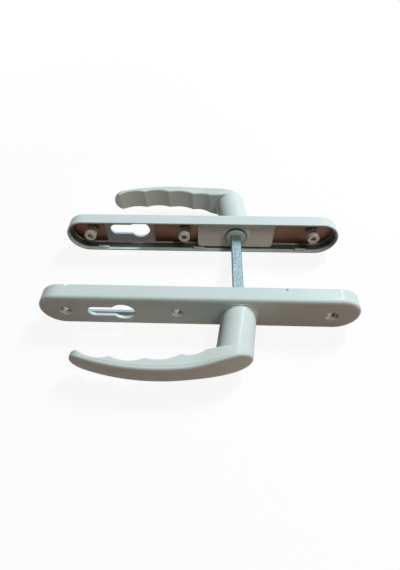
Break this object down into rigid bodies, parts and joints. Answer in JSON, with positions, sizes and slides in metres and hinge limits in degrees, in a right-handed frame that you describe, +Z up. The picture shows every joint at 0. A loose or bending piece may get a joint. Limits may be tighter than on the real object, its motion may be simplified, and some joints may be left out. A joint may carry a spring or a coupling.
{
  "type": "door handle set",
  "caption": "Pair of white lever handles on long round-ended backplates with keyholes, joined back to back by a square spindle, for a plastic entrance door.",
  "frame": {"origin": "on the floor under the middle of the set, midway between the two plates", "axes": "+X along the plates towards their plain end, +Y along the spindle from the front half to the rear half, +Z up across the plates as the set lies on their long edges"},
  "size_m": [0.235, 0.1902, 0.033],
  "materials": {
    "white_cover": "glossy white moulded plastic",
    "white_lever": "cast aluminium, glossy white powder coat",
    "tray_steel": "drawn bright zinc plated sheet steel",
    "block_plastic": "moulded beige grey plastic",
    "collar_nylon": "white moulded plastic",
    "spring_steel": "dark spring steel",
    "spindle_zinc": "zinc plated drawn square bar",
    "grub_black": "black oxide steel",
    "post_steel": "zinc plated turned steel",
    "sleeve_nylon": "natural translucent moulded plastic"
  },
  "bodies": {
    "front_plate": {"front_cover": "white_cover", "front_tray": "tray_steel", "front_bearing_block": "block_plastic", "front_bush": "block_plastic", "front_collar": "collar_nylon"},
    "front_handle": {"front_lever": "white_lever", "front_retaining_ring": "spring_steel", "spindle": "spindle_zinc", "spindle_grub_screw": "grub_black"},
    "rear_handle": {"rear_lever": "white_lever", "rear_retaining_ring": "spring_steel"},
    "rear_plate": {"rear_cover": "white_cover", "rear_tray": "tray_steel", "rear_bearing_block": "block_plastic", "rear_bush": "block_plastic", "rear_collar": "collar_nylon", "rear_screw_posts": "post_steel", "rear_post_washers": "post_steel", "rear_post_sleeves": "sleeve_nylon"}
  },
  "joints": [
    {"name": "lever_turn", "type": "hinge", "parent": "front_plate", "child": "front_handle", "pos_m": [0.03, 0, 0.0165], "axis": [0, 1, 0], "range_deg": [-135, 135]},
    {"name": "spindle_slide", "type": "slide", "parent": "front_handle", "child": "rear_handle", "axis": [0, 1, 0], "range_m": [-0.017, 0.01]},
    {"name": "rear_plate_turn", "type": "hinge", "parent": "rear_handle", "child": "rear_plate", "pos_m": [0.03, 0, 0.0165], "axis": [0, 1, 0], "range_deg": [-135, 135]}
  ],
  "couplings": [
    {"joint": "rear_plate_turn", "follows": "lever_turn", "ratio": -1}
  ]
}
